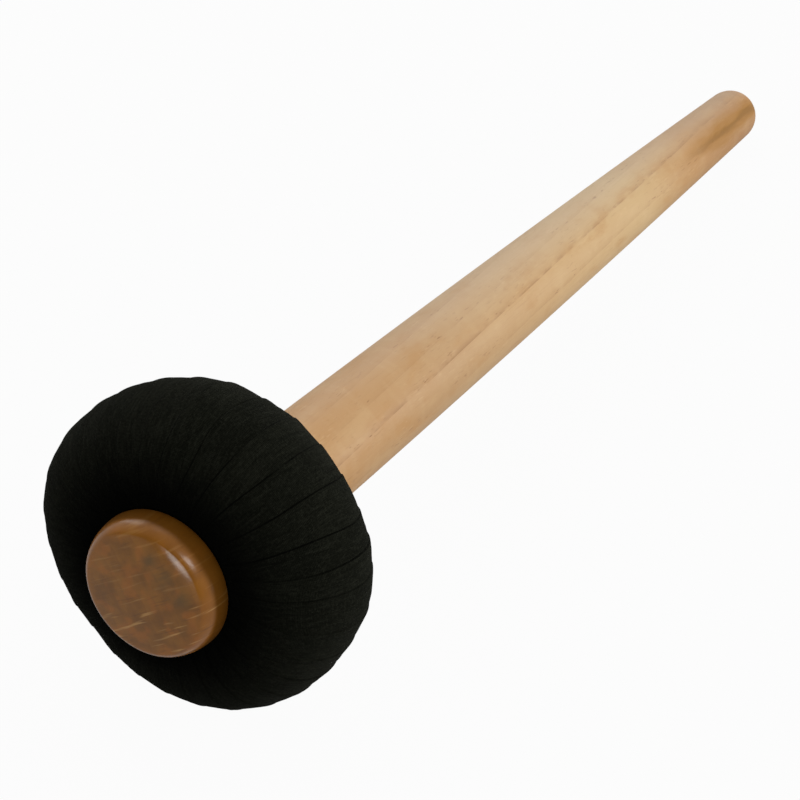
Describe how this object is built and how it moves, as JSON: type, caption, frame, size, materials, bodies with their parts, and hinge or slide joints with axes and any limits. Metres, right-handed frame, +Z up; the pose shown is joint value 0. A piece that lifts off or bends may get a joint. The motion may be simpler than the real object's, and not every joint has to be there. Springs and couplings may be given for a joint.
{
  "type": "gong mallet",
  "caption": "Gong mallet with a padded ring head wound in black knit tape, a tapered turned wooden handle and a round wooden end knob.",
  "frame": {"origin": "on the table, under the middle of the lying mallet's outline", "axes": "+Z up from the table; +Y level, from the knob towards the handle's tip; +X to the right as seen from the knob"},
  "size_m": [0.104, 0.3952, 0.1029],
  "materials": {
    "maple": "satin lacquer over pale turned hardwood",
    "brown_wood": "lacquered end grain",
    "core_wood": "bare turned wood",
    "dense_felt": "dense pressed felt",
    "soft_felt": "soft felt",
    "cotton_batting": "loose cotton batting",
    "knit_tape": "finely ribbed black knit"
  },
  "bodies": {
    "root": {"handle": "maple", "end_knob": "brown_wood", "core_ring": "core_wood", "rim_felt": "dense_felt", "front_felt": "soft_felt", "rear_felt": "soft_felt", "batting": "cotton_batting", "tape_winding": "knit_tape"}
  },
  "joints": []
}
